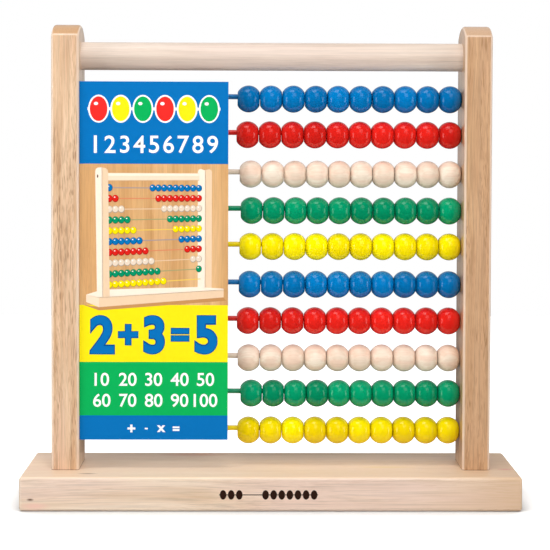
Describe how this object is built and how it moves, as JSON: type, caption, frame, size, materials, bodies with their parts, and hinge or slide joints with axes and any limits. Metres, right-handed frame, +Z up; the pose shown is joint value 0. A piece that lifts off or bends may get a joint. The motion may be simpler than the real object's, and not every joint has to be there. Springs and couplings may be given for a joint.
{
  "type": "abacus counting frame",
  "caption": "Wooden counting frame: coloured beads slide on rods between two posts on a base board, under a round top rail, with a printed card at one side.",
  "frame": {"origin": "middle of the base board's underside, on the surface the frame stands on", "axes": "+X along the base board to the right, +Y from front to back, +Z up"},
  "size_m": [0.305, 0.075, 0.296],
  "materials": {
    "pale_board": "smooth, clear lacquered, grain along the length",
    "post_wood": "smooth, clear lacquered, short dark pores along the grain",
    "pale_dowel": "smooth, pale, clear lacquered",
    "screw_steel": "zinc plated",
    "card_print": "printed card with a satin coating",
    "bead_blue": "gloss enamel on wood",
    "bead_red": "gloss enamel on wood",
    "bead_natural": "clear gloss lacquer on bare wood",
    "bead_green": "gloss enamel on wood",
    "bead_yellow": "gloss enamel on wood",
    "rod_blue": "gloss paint",
    "rod_red": "gloss paint",
    "rod_natural": "gloss paint",
    "rod_green": "gloss paint",
    "rod_yellow": "gloss paint"
  },
  "bodies": {
    "frame": {"base_board": "pale_board", "left_post": "post_wood", "right_post": "post_wood", "top_rail": "pale_dowel", "left_post_screws": "screw_steel", "right_post_screws": "screw_steel", "left_rail_screw": "screw_steel", "right_rail_screw": "screw_steel"},
    "card": {"printed_card": "card_print"},
    "rods": {"row_01_blue_rod": "rod_blue", "row_02_red_rod": "rod_red", "row_03_natural_rod": "rod_natural", "row_04_green_rod": "rod_green", "row_05_yellow_rod": "rod_yellow", "row_06_blue_rod": "rod_blue", "row_07_red_rod": "rod_red", "row_08_natural_rod": "rod_natural", "row_09_green_rod": "rod_green", "row_10_yellow_rod": "rod_yellow"},
    "row_01_left_beads": {"row_01_blue_bead_1": "bead_blue"},
    "row_01_right_beads": {"row_01_blue_beads_2_to_4": "bead_blue", "row_01_blue_beads_5_to_7": "bead_blue", "row_01_blue_beads_8_to_10": "bead_blue"},
    "row_02_left_beads": {"row_02_red_beads_1_to_2": "bead_red"},
    "row_02_right_beads": {"row_02_red_beads_3_to_5": "bead_red", "row_02_red_beads_6_to_8": "bead_red", "row_02_red_beads_9_to_10": "bead_red"},
    "row_03_left_beads": {"row_03_natural_beads_1_to_3": "bead_natural"},
    "row_03_right_beads": {"row_03_natural_beads_4_to_6": "bead_natural", "row_03_natural_beads_7_to_9": "bead_natural", "row_03_natural_bead_10": "bead_natural"},
    "row_04_left_beads": {"row_04_green_beads_1_to_3": "bead_green", "row_04_green_bead_4": "bead_green"},
    "row_04_right_beads": {"row_04_green_beads_5_to_7": "bead_green", "row_04_green_beads_8_to_10": "bead_green"},
    "row_05_left_beads": {"row_05_yellow_beads_1_to_3": "bead_yellow", "row_05_yellow_beads_4_to_5": "bead_yellow"},
    "row_05_right_beads": {"row_05_yellow_beads_6_to_8": "bead_yellow", "row_05_yellow_beads_9_to_10": "bead_yellow"},
    "row_06_left_beads": {"row_06_blue_beads_1_to_3": "bead_blue", "row_06_blue_beads_4_to_6": "bead_blue"},
    "row_06_right_beads": {"row_06_blue_beads_7_to_9": "bead_blue", "row_06_blue_bead_10": "bead_blue"},
    "row_07_left_beads": {"row_07_red_beads_1_to_3": "bead_red", "row_07_red_beads_4_to_6": "bead_red", "row_07_red_bead_7": "bead_red"},
    "row_07_right_beads": {"row_07_red_beads_8_to_10": "bead_red"},
    "row_08_left_beads": {"row_08_natural_beads_1_to_3": "bead_natural", "row_08_natural_beads_4_to_6": "bead_natural", "row_08_natural_beads_7_to_8": "bead_natural"},
    "row_08_right_beads": {"row_08_natural_beads_9_to_10": "bead_natural"},
    "row_09_left_beads": {"row_09_green_beads_1_to_3": "bead_green", "row_09_green_beads_4_to_6": "bead_green", "row_09_green_beads_7_to_9": "bead_green"},
    "row_09_right_beads": {"row_09_green_bead_10": "bead_green"},
    "row_10_beads": {"row_10_yellow_beads_1_to_3": "bead_yellow", "row_10_yellow_beads_4_to_6": "bead_yellow", "row_10_yellow_beads_7_to_9": "bead_yellow", "row_10_yellow_bead_10": "bead_yellow"}
  },
  "joints": [
    {"name": "card_pull_off", "type": "slide", "parent": "frame", "child": "card", "axis": [0, -1, 0], "range_m": [0, 0.06]},
    {"name": "rods_end_play", "type": "slide", "parent": "frame", "child": "rods", "axis": [1, 0, 0], "range_m": [-0.0003, 0.0003]},
    {"name": "row_01_right_slide", "type": "slide", "parent": "frame", "child": "row_01_right_beads", "axis": [1, 0, 0], "range_m": [-0.0968, 0]},
    {"name": "row_01_left_slide", "type": "slide", "parent": "row_01_right_beads", "child": "row_01_left_beads", "axis": [-1, 0, 0], "range_m": [0, 0.0968]},
    {"name": "row_02_right_slide", "type": "slide", "parent": "frame", "child": "row_02_right_beads", "axis": [1, 0, 0], "range_m": [-0.0961, 0]},
    {"name": "row_02_left_slide", "type": "slide", "parent": "row_02_right_beads", "child": "row_02_left_beads", "axis": [-1, 0, 0], "range_m": [0, 0.0961]},
    {"name": "row_03_right_slide", "type": "slide", "parent": "frame", "child": "row_03_right_beads", "axis": [1, 0, 0], "range_m": [-0.0983, 0]},
    {"name": "row_03_left_slide", "type": "slide", "parent": "row_03_right_beads", "child": "row_03_left_beads", "axis": [-1, 0, 0], "range_m": [0, 0.0983]},
    {"name": "row_04_right_slide", "type": "slide", "parent": "frame", "child": "row_04_right_beads", "axis": [1, 0, 0], "range_m": [-0.099, 0]},
    {"name": "row_04_left_slide", "type": "slide", "parent": "row_04_right_beads", "child": "row_04_left_beads", "axis": [-1, 0, 0], "range_m": [0, 0.099]},
    {"name": "row_05_right_slide", "type": "slide", "parent": "frame", "child": "row_05_right_beads", "axis": [1, 0, 0], "range_m": [-0.0982, 0]},
    {"name": "row_05_left_slide", "type": "slide", "parent": "row_05_right_beads", "child": "row_05_left_beads", "axis": [-1, 0, 0], "range_m": [0, 0.0982]},
    {"name": "row_06_right_slide", "type": "slide", "parent": "frame", "child": "row_06_right_beads", "axis": [1, 0, 0], "range_m": [-0.0978, 0]},
    {"name": "row_06_left_slide", "type": "slide", "parent": "row_06_right_beads", "child": "row_06_left_beads", "axis": [-1, 0, 0], "range_m": [0, 0.0978]},
    {"name": "row_07_right_slide", "type": "slide", "parent": "frame", "child": "row_07_right_beads", "axis": [1, 0, 0], "range_m": [-0.0967, 0]},
    {"name": "row_07_left_slide", "type": "slide", "parent": "row_07_right_beads", "child": "row_07_left_beads", "axis": [-1, 0, 0], "range_m": [0, 0.0967]},
    {"name": "row_08_right_slide", "type": "slide", "parent": "frame", "child": "row_08_right_beads", "axis": [1, 0, 0], "range_m": [-0.0972, 0]},
    {"name": "row_08_left_slide", "type": "slide", "parent": "row_08_right_beads", "child": "row_08_left_beads", "axis": [-1, 0, 0], "range_m": [0, 0.0972]},
    {"name": "row_09_right_slide", "type": "slide", "parent": "frame", "child": "row_09_right_beads", "axis": [1, 0, 0], "range_m": [-0.0991, 0]},
    {"name": "row_09_left_slide", "type": "slide", "parent": "row_09_right_beads", "child": "row_09_left_beads", "axis": [-1, 0, 0], "range_m": [0, 0.0991]},
    {"name": "row_10_slide", "type": "slide", "parent": "frame", "child": "row_10_beads", "axis": [-1, 0, 0], "range_m": [0, 0.0973]}
  ]
}
